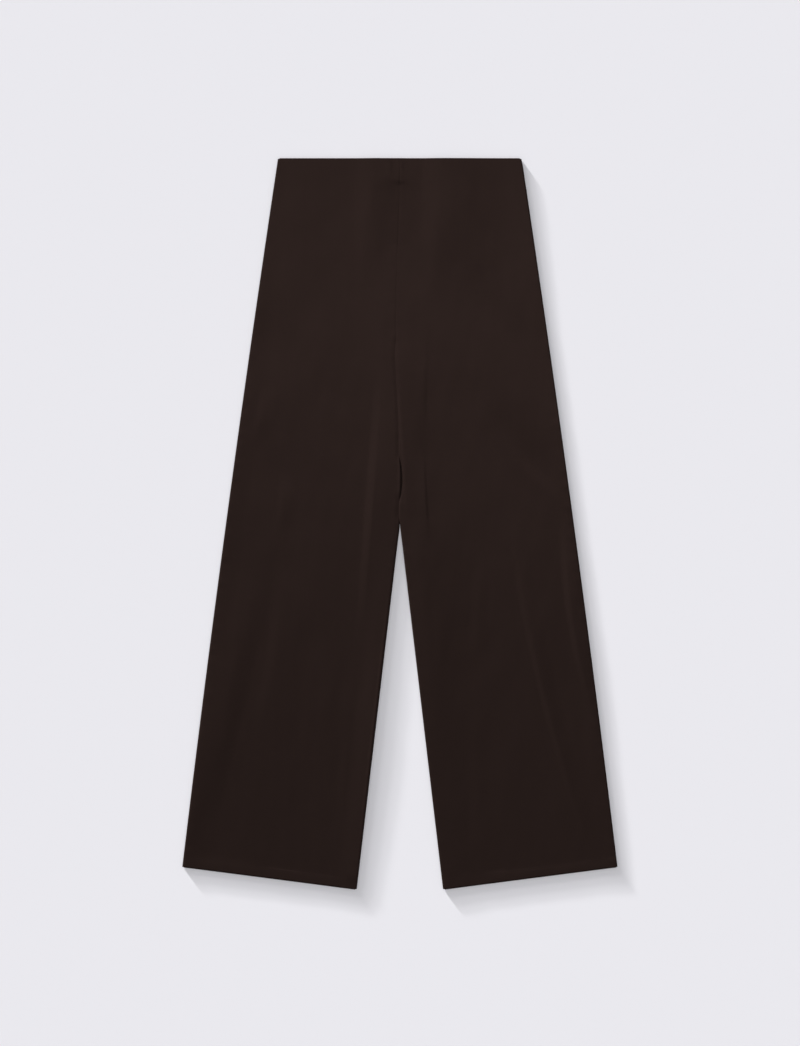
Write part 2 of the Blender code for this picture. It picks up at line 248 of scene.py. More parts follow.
# Lights: their setting, share of it, height above the floor and width in degrees, and the
# direction on the floor that they come from. The low ones stand one above the other, so that
# their shadow fades evenly.
Light = namedtuple("Light", "name setting share elevation size side")
LOW_SIDE = (-0.58, 0.81)
HIGH_SIDE = (-0.15, 0.99)
LIGHTS = (
    Light("low_light_1", "low_light", 0.33, 4.7, 1.6, LOW_SIDE),
    Light("low_light_2", "low_light", 0.33, 6.9, 3.0, LOW_SIDE),
    Light("low_light_3", "low_light", 0.34, 13.0, 10.0, LOW_SIDE),
    Light("high_light", "high_light", 1.0, 83.3, 8.0, HIGH_SIDE),
    Light("overhead", "overhead", 1.0, 90.0, 140.0, HIGH_SIDE),
)
LIGHT_DISTANCE = 3.0  # from the pants; a sun is as strong from anywhere

# Floor and camera
FLOOR_SIZE = 60.0
FLOOR_DROP = 0.0002  # from the cloth's underside
VIEW_CENTRE = (0.0002, 0.0014)  # the camera stands above this point
VIEW_LEVEL = 0.003  # the view's length is measured at this height above the floor
SENSOR_WIDTH = 36.0  # millimetres

# Knit, yarn and finishes. Scales are in features to a metre.
LOOP_SHARE = 0.20  # share of the knit relief that comes from the courses
KNIT_STRENGTH = 0.35
CLOUD_SCALE = 9.0
JERSEY_FLECKS = 420.0
THREAD_FLECKS = 900.0
FLOOR_FLECKS = 60.0
MOTTLE_CONTRAST = 0.6  # weight of the clouds, and of the flecks, between the two shades
ROUGHNESS_DRIFT = 0.08  # difference in roughness from cloud to cloud
TWIST_SCALE = 1400.0
TWIST_STRENGTH = 0.3
TWIST_DEPTH = 0.00004
THREAD_DARKER = 0.6  # darker shade of the thread, as a share of its shade
THREAD_ROUGHNESS = 0.5
THREAD_GLOSS = 0.1
FLOOR_DARKER = 0.997  # darker shade of the floor, as a share of its shade
FLOOR_ROUGHNESS = 0.9
MIX_FACTOR, MIX_A, MIX_B, MIX_RESULT = 0, 6, 7, 2  # sockets of a Mix node for colours

# A station is a row of points: its distance from the waist edge, the share of the leg's length
# that comes on top of it, and how far it is turned inwards. A column has its share of the way
# from the inner edge to the side seam, and its steps round either curl.
Station = namedtuple("Station", "from_waist leg_share inset")
Column = namedtuple("Column", "share inner_step side_step")

# side is -1 on the wearer's right and 1 on the left; up is 1 for a front and -1 for a back;
# next_creases are those of the panel on the other side of the centre seam.
Panel = namedtuple("Panel", "name node side up creases next_creases")
FRONTS = (
    Panel("front_right_leg_cloth", "front_right_leg", -1, 1, RIGHT_LEG_CREASES, LEFT_LEG_CREASES),
    Panel("front_left_leg_cloth", "front_left_leg", 1, 1, LEFT_LEG_CREASES, RIGHT_LEG_CREASES),
)
BACKS = (
    Panel("back_right_leg_cloth", "back_right_leg", -1, -1, BACK_CREASES, ()),
    Panel("back_left_leg_cloth", "back_left_leg", 1, -1, BACK_CREASES, ()),
)


# -------------------------------- settings


def metres(name, description, default, precision=5, **limits):
    """A setting that is a length."""
    return bpy.props.FloatProperty(
        name=name,
        description=description,
        default=default,
        precision=precision,
        subtype="DISTANCE",
        unit="LENGTH",
        **limits,
    )


def factor(name, description, default, most=1.0):
    """A setting from 0 up to the most, shown as a slider."""
    return bpy.props.FloatProperty(
        name=name, description=description, default=default, min=0.0, max=most, subtype="FACTOR"
    )


def number(name, description, default, least=0.0):
    """A setting that is a plain number, not below the least."""
    return bpy.props.FloatProperty(name=name, description=description, default=default, min=least)


def colour(name, description, red, green, blue):
    """A setting that is a colour."""
    return bpy.props.FloatVectorProperty(
        name=name,
        description=description,
        default=(red, green, blue, 1.0),
        subtype="COLOR",
        size=4,
        min=0.0,
        max=1.0,
    )


class PantsClothSettings(bpy.types.PropertyGroup):
    """Sizes of the sheets of cloth."""

    thickness: metres("Cloth Thickness", "Thickness of the jersey", 0.0008, min=0.0004, max=0.0012)
    column_pitch: metres(
        "Front Column Pitch", "Distance between a front's columns of points, at the waist", 0.0016
    )
    row_pitch: metres("Front Row Pitch", "Distance between the rows of points of a front", 0.0048)
    back_coarseness: number(
        "Back Coarseness", "Pitch of the backs as a multiple of the fronts' pitch", 2.0, least=1.0
    )
    crease_strength: factor(
        "Crease Strength", "Height of the creases as a multiple of their own heights", 1.0, most=2.0
    )
    undulation: metres("Undulation", "Height of the soft unevenness of the laid cloth", 0.00025)
    pucker: metres("Seam Pucker", "Height of the small ripples along the seams", 0.00022)


class PantsJerseySettings(bpy.types.PropertyGroup):
    """Colour and finish of the jersey."""

    shade: colour("Shade", "Main colour of the jersey", 0.0196, 0.0121, 0.0106)
    deep_shade: colour(
        "Deep Shade", "Colour of the jersey where the yarn is darker", 0.0167, 0.0104, 0.0090
    )
    lustre: factor(
        "Lustre", "Share of the light that the smooth fibres reflect in the dye's colour", 0.225
    )
    edge_lustre: colour(
        "Edge Lustre", "Tint of the lustre seen at a low angle", 0.050, 0.037, 0.033
    )
    sheen: factor(
        "Sheen", "Strength of the soft glow that the fine fibres give at a low angle", 0.07
    )
    sheen_spread: factor(
        "Sheen Spread", "How widely the soft glow spreads from the low angles", 0.40
    )
    sheen_tint: colour("Sheen Tint", "Tint of the soft glow", 0.62, 0.46, 0.40)
    roughness: factor("Roughness", "Roughness of the jersey's face", 0.40)
    wale_lustre: factor(
        "Wale Lustre", "How much more the wales spread the light across the leg than along it", 0.82
    )
    wale_pitch: metres("Wale Pitch", "Width of one column of knit stitches", 0.00070)
    course_pitch: metres("Course Pitch", "Height of one row of knit stitches", 0.00052)
    knit_depth: metres(
        "Knit Depth", "Depth of the relief between the knit stitches", 0.00004, precision=6
    )


class PantsHemSettings(bpy.types.PropertyGroup):
    """Sizes and colour of the hem stitching."""

    height: metres(
        "Stitching Height", "Height of the upper row of stitches above the hem edge", 0.0162
    )
    row_gap: metres("Row Gap", "Distance between the two rows of stitches", 0.0030)
    stitch_pitch: metres("Stitch Pitch", "Distance from one stitch to the next", 0.0031)
    stitch_length: metres("Stitch Length", "Length of the thread that shows in one stitch", 0.0025)
    thread: metres("Thread", "Thickness of the sewing thread", 0.00028)
    thread_shade: colour("Thread Shade", "Colour of the sewing thread", 0.0120, 0.0077, 0.0066)


class PantsStageSettings(bpy.types.PropertyGroup):
    """Floor, light and camera."""

    floor_shade: colour("Floor Shade", "Colour of the floor", 0.790, 0.783, 0.823)
    sky: number("Sky", "Strength of the even light from all round", 0.22)
    low_light: number(
        "Low Lights", "Light on the floor from the low lights, which throw the shadow", 1.21
    )
    high_light: number(
        "High Light", "Light on the floor from the high light, which gives the lustre", 0.80
    )
    overhead: number("Overhead", "Light on the floor from the broad light overhead", 0.57)
    view_length: metres(
        "View Length", "Length of floor that the camera takes in from top to bottom", 1.5794
    )
    lens: number("Lens", "Focal length of the camera in millimetres", 85.0, least=20.0)


# -------------------------------- form of the sheets


def ease(value, start, end):
    """0 before start, 1 after end, and a smooth rise between."""
    t = np.clip((value - start) / (end - start), 0.0, 1.0)
    return t * t * (3.0 - 2.0 * t)


def fade(value, start, end):
    """1 before start, 0 after end, and a smooth fall between."""
    return 1.0 - ease(value, start, end)


def spaced(start, end, pitch):
    """Even steps from start to end, about a pitch apart, both ends included."""
    return np.linspace(start, end, max(2, round(abs(end - start) / pitch) + 1))


def side_edge(depth, side):
    """Distance of the side seam from the centre line."""
    t = depth / SIDE_LENGTH
    edge = WAIST_HALF + (HEM_HALF - WAIST_HALF) * t + 4.0 * HIP_BOW * t * (1.0 - t)
    if side > 0:
        edge = edge - CORNER_PULL * fade(depth, 0.0, CORNER_DEPTH)
    return edge


def inner_edge(depth, panel):
    """Distance of the panel's inner edge from the centre line, on its own side."""
    drift = SEAM_DRIFT * ease(depth, 0.0, SEAM_END) * fade(depth, SEAM_END, DRIFT_END)
    spread = np.maximum(depth - SPLIT_DEPTH, 0.0) * LEG_GAP_HALF / (INSIDE_LENGTH - SPLIT_DEPTH)
    if panel.up > 0:
        slit = SLIT_RIGHT if panel.side < 0 else SLIT_LEFT
        spread = spread + slit * fade(np.abs(depth - SLIT_DEPTH), 0.0, SLIT_REACH)
        if panel.side > 0:
            spread = spread - LAP * lapped(depth)
    return spread - panel.side * drift


def lapped(depth):
    """1 where the left front laps over the right one, and 0 elsewhere."""
    start = ease(depth, SEAM_END, SEAM_END + LAP_EASE)
    off_slit = ease(np.abs(depth - SLIT_DEPTH), SLIT_OPEN * SLIT_REACH, SLIT_REACH)
    return start * off_slit * fade(depth, SPLIT_DEPTH - LAP_FADE, SPLIT_DEPTH)


def curled(step, curl):
    """(out, down, end) of a step across a curled edge, in parts of its width, height and lip."""
    flat = step / (ROLL_STEPS + 1)
    angle = 0.5 * math.pi * np.minimum(step / ROLL_STEPS, 1.0)
    out = flat + (np.sin(angle) - flat) * curl
    return out, (1.0 - np.cos(angle)) * curl, np.where(step > ROLL_STEPS, curl, 0.0)


def fullness(depth, above_hem):
    """(casing, hem), each 1 where that turned edge lies between front and back."""
    casing = fade(depth, CASING, CASING + CASING_EASE)
    hem = fade(above_hem, 0.0, HEM_EASE)
    return casing, hem


def curve_points(crease):
    """Points of a crease as (x, depth), on a quadratic curve drawn towards its bend."""
    t = np.linspace(0.0, 1.0, CURVE_STEPS + 1)[:, None]
    top = np.array((crease.top_x, crease.top_depth))
    bend = np.array((crease.bend_x, crease.bend_depth))
    foot = np.array((crease.foot_x, crease.foot_depth))
    return (1.0 - t) ** 2 * top + 2.0 * t * (1.0 - t) * bend + t**2 * foot


def crease_height(crease, x, depth):
    """Height that one crease adds at each place, from its nearest point on the curve."""
    nearest = np.full(x.shape, np.inf)
    towards_left = np.zeros(x.shape, dtype=bool)
    along = np.zeros(x.shape)
    curve = curve_points(crease)
    for step, (start, end) in enumerate(zip(curve, curve[1:])):
        run = end - start
        t = ((x - start[0]) * run[0] + (depth - start[1]) * run[1]) / (run @ run)
        t = np.clip(t, 0.0, 1.0)
        away_x = x - start[0] - t * run[0]
        away_down = depth - start[1] - t * run[1]
        distance = np.hypot(away_x, away_down)
        closer = distance < nearest
        nearest = np.where(closer, distance, nearest)
        towards_left = np.where(closer, run[1] * away_x > run[0] * away_down, towards_left)
        along = np.where(closer, (step + t) / CURVE_STEPS, along)
    width = np.where(towards_left, crease.left, crease.right)
    across = np.clip(nearest / width, 0.0, 1.0)
    soft = (1.0 - across**2) ** 2
    sharp = (1.0 - across) ** 2
    profile = soft + (sharp - soft) * crease.crisp
    from_top = 0.5 * along / crease.peak
    from_foot = 0.5 * (1.0 - along) / (1.0 - crease.peak)
    return crease.height * ease(np.minimum(from_top, from_foot), 0.0, 0.5) * profile


def swell_height(x, depth):
    """Height of the broad swells and hollows."""
    total = np.zeros(x.shape)
    for swell in SWELLS:
        reach = np.where(depth < swell.depth, swell.above, swell.below)
        away = ((x - swell.x) / swell.across) ** 2 + ((depth - swell.depth) / reach) ** 2
        total += swell.height * np.clip(1.0 - away, 0.0, 1.0) ** 2
    return total


def noise_field(x, depth, waves):
    """Smooth noise from -1 to 1."""
    flat = [
        noise.noise(Vector((a / waves.across, b / waves.down, waves.seed)))
        for a, b in zip(x.ravel().tolist(), depth.ravel().tolist())
    ]
    return np.array(flat).reshape(x.shape)


def crease_sum(creases, x, depth):
    """Height that a list of creases adds at each place."""
    total = np.zeros(x.shape)
    for crease in creases:
        total += crease_height(crease, x, depth)
    return total


def front_relief(panel, cloth, x, depth, joined, near_seam):
    """Everything that is raised on a front: creases, swells, unevenness and seam puckers.

    Where the fronts are joined, the other leg's creases run on across the centre seam.
    """
    creases = crease_sum(panel.creases, x, depth)
    creases += joined * crease_sum(panel.next_creases, x, depth)
    uneven = noise_field(x, depth, BROAD_WAVES) + FINE_SHARE * noise_field(x, depth, FINE_WAVES)
    ripple = noise_field(x, depth, FRONT_PUCKERS)
    return (
        cloth.crease_strength * (creases + swell_height(x, depth))
        + cloth.undulation * uneven
        + cloth.pucker * ripple * near_seam
    )


def ditch_share(depth):
    """How deep the centre seam's ditch is at each depth, as a share of its usual depth."""
    return 1.0 + DITCH_UNEVEN * noise_field(np.zeros(depth.shape), depth, DITCH_WAVES)


def back_relief(panel, cloth, x, depth, near_seam):
    """What is raised off the floor on a back: shallow creases and seam puckers."""
    creases = crease_sum(panel.creases, x * panel.side, depth)
    ripple = 0.5 + 0.5 * noise_field(x, depth, BACK_PUCKERS)
    return cloth.crease_strength * creases + cloth.pucker * ripple * near_seam


def inner_roll(depth, panel):
    """Width of the inner edge's curl. Above the split one front tucks in below the other."""
    if panel.up < 0:
        return np.full(depth.shape, EDGE_ROLL)
    joined = TUCK_ROLL if panel.side < 0 else LAP_ROLL
    return joined + (EDGE_ROLL - joined) * ease(depth, SPLIT_DEPTH - SPLIT_EASE, SPLIT_DEPTH)


def inner_tuck(depth, panel):
    """How much lower the inner edge lies where it is tucked in below the other leg's."""
    if panel.up < 0 or panel.side > 0:
        return np.zeros(depth.shape)
    return TUCK * lapped(depth)


def inner_lift(depth, from_inner, panel):
    """How much higher the left leg lies where it laps over the other leg's edge."""
    if panel.up < 0 or panel.side < 0:
        return np.zeros(from_inner.shape)
    along = ease(depth, LIFT_START, LIFT_FULL) * fade(depth, LIFT_EASE, LIFT_END)
    return LAP_LIFT * along * fade(from_inner, LAP_REACH, LAP_REACH + LAP_DROP)


def sheet_points(panel, cloth, hem, stations, columns):
    """Places of the middle of a panel's cloth, one row for each station."""
    from_waist, leg_share, inset = (np.array(field)[:, None] for field in zip(*stations))
    share, inner_step, side_step = (np.array(field)[None, :] for field in zip(*columns))
    hem_depth = INSIDE_LENGTH + (SIDE_LENGTH - INSIDE_LENGTH) * share
    depth = from_waist + leg_share * hem_depth
    above_hem = hem_depth - depth
    casing_full, hem_full = fullness(depth, above_hem)
    rise = BODY_RISE + (CASING_RISE - BODY_RISE) * casing_full + (HEM_RISE - BODY_RISE) * hem_full
    seam_height = 0.5 * cloth.thickness + rise

    curl = ease(depth, SEAM_END, CROTCH_DEPTH)
    roll = inner_roll(depth, panel)
    wall = 0.5 * cloth.thickness * curl + 0.5 * CENTRE_GAP
    inner_flat = inner_edge(depth, panel) + wall + roll
    outer_flat = side_edge(depth, panel.side) - 0.5 * cloth.thickness - EDGE_ROLL
    inner_out, inner_down, inner_end = curled(inner_step, curl)
    side_out, side_down, side_end = curled(side_step, 1.0)
    x = inner_flat + (outer_flat - inner_flat) * share + EDGE_ROLL * side_out - roll * inner_out
    from_inner = x - inner_flat
    from_side = outer_flat - x
    from_seam = from_inner + roll

    tuck = inner_tuck(depth, panel)
    lift = inner_lift(depth, from_inner, panel)
    edge_lift = inner_lift(depth, np.zeros(depth.shape), panel)
    inner_fall = rise - tuck + edge_lift - 0.5 * SEAM_GAP - EDGE_LIP
    if panel.up > 0 and panel.side > 0:
        inner_fall = inner_fall - (LAP_TIP - 0.5 * SEAM_GAP) * lapped(depth)
    side_fall = rise - 0.5 * SEAM_GAP - EDGE_LIP
    above_seam = rise - inset - inner_fall * inner_down - side_fall * side_down
    above_seam = above_seam - EDGE_LIP * (inner_end + side_end)
    above_seam = above_seam - tuck * fade(from_inner, 0.0, TUCK_REACH)
    above_seam = above_seam + lift
    z = seam_height + panel.up * above_seam

    free = (1.0 - inner_down) * (1.0 - side_down) * ease(above_hem, HEM_STILL, HEM_CALM)
    near_inner = fade(from_seam, 0.0, PUCKER_INNER)
    near_seam = np.maximum(near_inner, fade(from_side, 0.0, PUCKER_SIDE))
    signed_x = panel.side * x
    if panel.up > 0:
        puffed = ease(depth, SEAM_END - PUFF_EASE, SEAM_END)
        settled = 1.0 - fade(from_inner, 0.0, INNER_REACH) * puffed
        settled = settled * ease(from_side, 0.0, SIDE_REACH)
        z = z - SAG * (1.0 - casing_full) * (1.0 - HEM_SETTLE * hem_full) * settled
        z = z + free * front_relief(panel, cloth, signed_x, depth, 1.0 - curl, near_seam)
        ditch_width = DITCH_RIGHT if panel.side < 0 else DITCH_LEFT
        ditch = DITCH * (1.0 - curl) * (inset == 0.0) * ditch_share(depth)
        z = z - ditch * np.clip(1.0 - from_seam / ditch_width, 0.0, 1.0) ** 2
    else:
        z = z + free * back_relief(panel, cloth, signed_x, depth, near_seam)
    z = z + panel.up * hem_relief(panel, hem, signed_x, above_hem) * (inset == 0.0)
    return np.stack((signed_x, HALF_LENGTH - depth, z), axis=-1)


def stitch_rows(hem):
    """Heights of the two rows of stitches above the hem edge."""
    return hem.height, hem.height - hem.row_gap


def hem_relief(panel, hem, x, above_hem):
    """What the hem raises towards the outside: the broken step, and a groove for each row."""
    raised = np.zeros(x.shape)
    half = 0.5 * HEM_STEP_EASE
    if panel.up > 0:
        for step in HEM_STEPS:
            along = (x - step.start_x) / (step.end_x - step.start_x)
            height = step.start_height + (step.end_height - step.start_height) * along
            taper = HEM_STEP_FADE / (step.end_x - step.start_x)
            present = ease(along, 0.0, taper) * fade(along, 1.0 - taper, 1.0)
            above_step = ease(above_hem, height - half, height + half)
            raised = raised + step.raised * present * (1.0 - above_step)
    for row_height in stitch_rows(hem):
        groove = fade(np.abs(above_hem - row_height), 0.0, GROOVE_REACH * hem.thread)
        raised = raised - GROOVE_DEPTH * hem.thread * groove
    return raised


def turned_edge(from_edge, inset):
    """(distance from the edge, inset) round a turned edge, from the outer layer to the inner."""
    angle = np.linspace(0.0, math.pi, BEND_STEPS + 1)
    along = from_edge + 0.5 * inset * (1.0 - np.sin(angle))
    return list(zip(along, 0.5 * inset * (1.0 - np.cos(angle))))


def sheet_stations(cloth, hem, row_pitch):
    """Rows of a sheet, from the casing's raw edge over the waist and down to the hem's."""
    half = 0.5 * cloth.thickness
    waist_bend = turned_edge(half, CASING_INSET)
    hem_bend = turned_edge(half, HEM_INSET)
    casing = spaced(CASING, TURNED_START, CASING_PITCH)
    found = [Station(depth, 0.0, CASING_INSET) for depth in casing]
    found += [Station(along, 0.0, inset) for along, inset in reversed(waist_bend)]
    waist = spaced(OUTER_START, WAIST_END, WAIST_DENSITY * row_pitch)
    found += [Station(depth, 0.0, 0.0) for depth in waist]
    leg = spaced(LEG_START, INSIDE_LENGTH - LEG_END, row_pitch)
    found += [Station(0.0, depth / INSIDE_LENGTH, 0.0) for depth in leg]
    above = set(spaced(HEM_START, OUTER_START, HEM_OUTER_PITCH).tolist())
    for row_height in stitch_rows(hem):
        for step in (-1.0, -0.5, 0.0, 0.5, 1.0):
            above.add(row_height + step * GROOVE_REACH * hem.thread)
    found += [Station(-height, 1.0, 0.0) for height in sorted(above, reverse=True)]
    found += [Station(-along, 1.0, inset) for along, inset in hem_bend]
    turned = spaced(TURNED_START, HEM, HEM_PITCH)
    return found + [Station(-height, 1.0, HEM_INSET) for height in turned]


def sheet_columns(column_pitch):
    """Columns of a sheet, from the inner edge's curl to the side seam's."""
    span = WAIST_HALF - 2.0 * EDGE_ROLL
    steps = range(1, ROLL_STEPS + 2)
    near = spaced(0.0, INNER_WIDTH, INNER_DENSITY * column_pitch)
    far = spaced(INNER_WIDTH, span, column_pitch)
    found = [Column(0.0, step, 0) for step in reversed(steps)]
    found += [Column(distance / span, 0, 0) for distance in (*near[:-1], *far)]
    return found + [Column(1.0, 0, step) for step in steps]


def run_lengths(points, axis):
    """How far each point is from the first one, measured along its row or column."""
    steps = np.linalg.norm(np.diff(points, axis=axis), axis=2)
    return np.insert(np.cumsum(steps, axis=axis), 0, 0.0, axis=axis)


def cloth_map(points):
    """Flat place of each point in metres, measured along the cloth."""
    middle = points.shape[1] // 2
    across = run_lengths(points, 1)
    return np.stack((across - across[:, middle : middle + 1], -run_lengths(points, 0)), axis=-1)


def has_point(station, column):
    """False where a turned edge stops at a curl. The casing runs on to the centre seam."""
    at_waist = station.leg_share == 0.0
    return station.inset == 0.0 or column.side_step == 0 and (at_waist or column.inner_step == 0)


def new_piece(name, points, faces, material):
    """A mesh object of one material."""
    mesh = bpy.data.meshes.new(name)
    mesh.from_pydata(points.tolist(), [], faces)
    mesh.materials.append(bpy.data.materials[material])
    piece = bpy.data.objects.new(name, mesh)
    bpy.context.collection.objects.link(piece)
    return piece


def square_corners(grid):
    """The four values round each square of a grid."""
    return np.stack((grid[:-1, :-1], grid[1:, :-1], grid[1:, 1:], grid[:-1, 1:]), axis=-1)


def sheet_object(panel, points, stations, columns):
    """One sheet as a mesh object with its flat map."""
    kept = np.array([[has_point(station, column) for column in columns] for station in stations])
    index = np.cumsum(kept).reshape(kept.shape) - 1
    quads = square_corners(index)[square_corners(kept).all(axis=-1)]
    if panel.side * panel.up < 0:
        quads = quads[:, ::-1]
    sheet = new_piece(panel.name, points[kept], quads.tolist(), "brown_jersey")
    mesh = sheet.data
    corners = np.zeros(len(mesh.loops), dtype=np.int32)
    mesh.loops.foreach_get("vertex_index", corners)
    flat = cloth_map(points)[kept][corners]
    mesh.uv_layers.new(name=CLOTH_MAP).data.foreach_set("uv", flat.ravel())
    return sheet


def finish_mesh(piece):
    """Makes the piece the only one selected and applies its modifiers."""
    bpy.ops.object.select_all(action="DESELECT")
    piece.select_set(True)
    bpy.context.view_layer.objects.active = piece
    for modifier in list(piece.modifiers):
        bpy.ops.object.modifier_apply(modifier=modifier.name)
    bpy.ops.object.shade_smooth_by_angle(angle=math.radians(SMOOTH_ANGLE))


def add_sheet(panel, cloth, hem, coarseness):
    """One leg panel of jersey, which takes the place of its CAD solid; that solid is hidden."""
    stations = sheet_stations(cloth, hem, coarseness * cloth.row_pitch)
    columns = sheet_columns(coarseness * cloth.column_pitch)
    points = sheet_points(panel, cloth, hem, stations, columns)
    sheet = sheet_object(panel, points, stations, columns)
    wall = sheet.modifiers.new("cloth", "SOLIDIFY")
    wall.thickness = cloth.thickness
    wall.offset = 0.0
    wall.use_even_offset = True
    finish_mesh(sheet)
    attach(sheet, BODY)
    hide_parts(panel.node)


# -------------------------------- stitching


def stitching_name(panel):
    """Name of the stitching that belongs to a panel's hem."""
    return panel.name.replace("_cloth", "_hem_stitching")


def model_stitch(hem):
    """Points and faces of one stitch along X: a short thread that dips in at both ends."""
    bpy.ops.object.select_all(action="DESELECT")
    sides = STITCH_SIDES
    bpy.ops.mesh.primitive_uv_sphere_add(segments=sides, ring_count=sides, radius=0.5)
    stitch = bpy.context.object
    bpy.ops.object.mode_set(mode="EDIT")
    bpy.ops.transform.rotate(value=0.5 * math.pi, orient_axis="Y", center_override=(0.0, 0.0, 0.0))
    bpy.ops.transform.resize(value=(hem.stitch_length, hem.thread, hem.thread))
    bpy.ops.object.mode_set(mode="OBJECT")
    mesh = stitch.data
    shape = np.array([tuple(v.co) for v in mesh.vertices])
    faces = sorted(tuple(f.vertices) for f in mesh.polygons)
    bpy.data.objects.remove(stitch, do_unlink=True)
    bpy.data.meshes.remove(mesh)
    return shape, faces


def add_hem_stitches(panel, cloth, hem, shape, faces):
    """Both rows of stitches of one hem as one mesh that follows the cloth."""
    hem_width = HEM_HALF - LEG_GAP_HALF - 2.0 * EDGE_ROLL
    count = int(hem_width / hem.stitch_pitch)
    half = 0.5 * hem.stitch_length / hem_width
    places = (np.arange(count) + 0.5) / count
    columns = [Column(share, 0, 0) for place in places for share in (place - half, place + half)]
    vertices = []
    polygons = []
    for row_height in stitch_rows(hem):
        station = Station(-row_height, 1.0, 0.0)
        ends = sheet_points(panel, cloth, hem, [station], columns)[0]
        ends[:, 2] += panel.up * (0.5 * cloth.thickness - STITCH_SINK * hem.thread)
        for start, end in zip(ends[0::2], ends[1::2]):
            run = (end - start) / np.linalg.norm(end - start)
            side = np.cross((0.0, 0.0, 1.0), run)
            side /= np.linalg.norm(side)
            turn = np.array((run, side, np.cross(run, side)))
            first = len(vertices) * len(shape)
            vertices.append(0.5 * (start + end) + shape @ turn)
            polygons += [tuple(first + corner for corner in face) for face in faces]
    name = stitching_name(panel)
    stitches = new_piece(name, np.concatenate(vertices), polygons, "brown_thread")
    stitches.data.shade_smooth()
    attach(stitches, BODY)


# -------------------------------- materials


def set_input(node, name, value):
    """Sets a socket's own value, or links another node's output to it."""
    socket = node.inputs[name]
    if isinstance(value, bpy.types.NodeSocket):
        node.id_data.links.new(value, socket)
    else:
        socket.default_value = value


def set_inputs(node, **values):
    """Sets or links a node's sockets by name, with _ for a space."""
    for name, value in values.items():
        set_input(node, name.replace("_", " "), value)


def add_node(tree, kind, **values):
    """A new node with its sockets set or linked."""
    node = tree.nodes.new(kind)
    set_inputs(node, **values)
    return node


def add_group(tree, group, **values):
    """A node that holds a group, with its sockets set or linked."""
    node = tree.nodes.new("ShaderNodeGroup")
    node.node_tree = group
    set_inputs(node, **values)
    return node


def add_math(tree, operation, *values):
    """The result of a Math node."""
    node = tree.nodes.new("ShaderNodeMath")
    node.operation = operation
    for slot, value in enumerate(values):
        set_input(node, slot, value)
    return node.outputs[0]


def new_group(name, inputs, outputs):
    """A node group, its inputs' sockets and its output node. Sockets have a name and a kind."""
    group = bpy.data.node_groups.new(name, "ShaderNodeTree")
    for way, sockets in (("INPUT", inputs), ("OUTPUT", outputs)):
        for label, kind in sockets.items():
            group.interface.new_socket(label, in_out=way, socket_type="NodeSocket" + kind)
    return group, group.nodes.new("NodeGroupInput").outputs, group.nodes.new("NodeGroupOutput")


def knit_group():
    """Relief of plain knitting: two yarns to a wale, crossing in a V at each course."""
    group, given, result = new_group(
        "knit_relief",
        {"Cloth": "Vector", "Wale Pitch": "Float", "Course Pitch": "Float"},
        {"Height": "Float"},
    )
    place = add_node(group, "ShaderNodeSeparateXYZ", Vector=given["Cloth"])
    wale = add_math(group, "DIVIDE", place.outputs["X"], given["Wale Pitch"])
    course = add_math(group, "DIVIDE", place.outputs["Y"], given["Course Pitch"])
    in_wale = add_math(group, "FRACT", wale)
    off_centre = add_math(group, "ABSOLUTE", add_math(group, "SUBTRACT", in_wale, 0.5))
    slanted = add_math(group, "ADD", course, off_centre)
    loop = add_math(group, "SINE", add_math(group, "MULTIPLY", slanted, 2.0 * math.pi))
    yarn = add_math(group, "COSINE", add_math(group, "MULTIPLY", wale, 4.0 * math.pi))
    ribbed = add_math(group, "MULTIPLY_ADD", loop, LOOP_SHARE, 1.0 - LOOP_SHARE)
    lifted = add_math(group, "MULTIPLY_ADD", yarn, -0.5, 0.5)
    set_inputs(result, Height=add_math(group, "MULTIPLY", ribbed, lifted))
    return group


def mottle_group():
    """Uneven colour and roughness, as of dyed yarn: broad clouds and fine flecks."""
    group, given, result = new_group(
        "yarn_mottle",
        {
            "Place": "Vector",
            "Shade": "Color",
            "Deep Shade": "Color",
            "Roughness": "Float",
            "Fleck Scale": "Float",
        },
        {"Colour": "Color", "Roughness": "Float"},
    )
    place = given["Place"]
    scale = given["Fleck Scale"]
    clouds = add_node(group, "ShaderNodeTexNoise", Vector=place, Scale=CLOUD_SCALE, Detail=3.0)
    flecks = add_node(group, "ShaderNodeTexNoise", Vector=place, Scale=scale, Detail=2.0)
    cloud = clouds.outputs["Fac"]
    fleck = flecks.outputs["Fac"]
    blend = add_math(group, "MULTIPLY_ADD", fleck, MOTTLE_CONTRAST, 0.5 - MOTTLE_CONTRAST)
    blend = add_math(group, "MULTIPLY_ADD", cloud, MOTTLE_CONTRAST, blend)
    mix = group.nodes.new("ShaderNodeMix")
    mix.data_type = "RGBA"
    set_input(mix, MIX_FACTOR, blend)
    set_input(mix, MIX_A, given["Shade"])
    set_input(mix, MIX_B, given["Deep Shade"])
    drift = add_math(group, "MULTIPLY_ADD", cloud, ROUGHNESS_DRIFT, -0.5 * ROUGHNESS_DRIFT)
    rough = add_math(group, "ADD", given["Roughness"], drift)
    set_inputs(result, Colour=mix.outputs[MIX_RESULT], Roughness=rough)
    return group


def new_material(name):
    """A material with its tree and its Principled shader."""
    material = bpy.data.materials.new(name)
    material.use_nodes = True
    return material.node_tree, material.node_tree.nodes["Principled BSDF"]


def add_mottle(tree, shader, mottle, place, shade, deep_shade, roughness, flecks):
    """Uneven colour and roughness, placed in a material and led to its shader."""
    yarn = add_group(tree, mottle, Place=place, Roughness=roughness, Fleck_Scale=flecks)
    set_inputs(yarn, Shade=tuple(shade), Deep_Shade=tuple(deep_shade))
    set_inputs(shader, Base_Color=yarn.outputs["Colour"], Roughness=yarn.outputs["Roughness"])


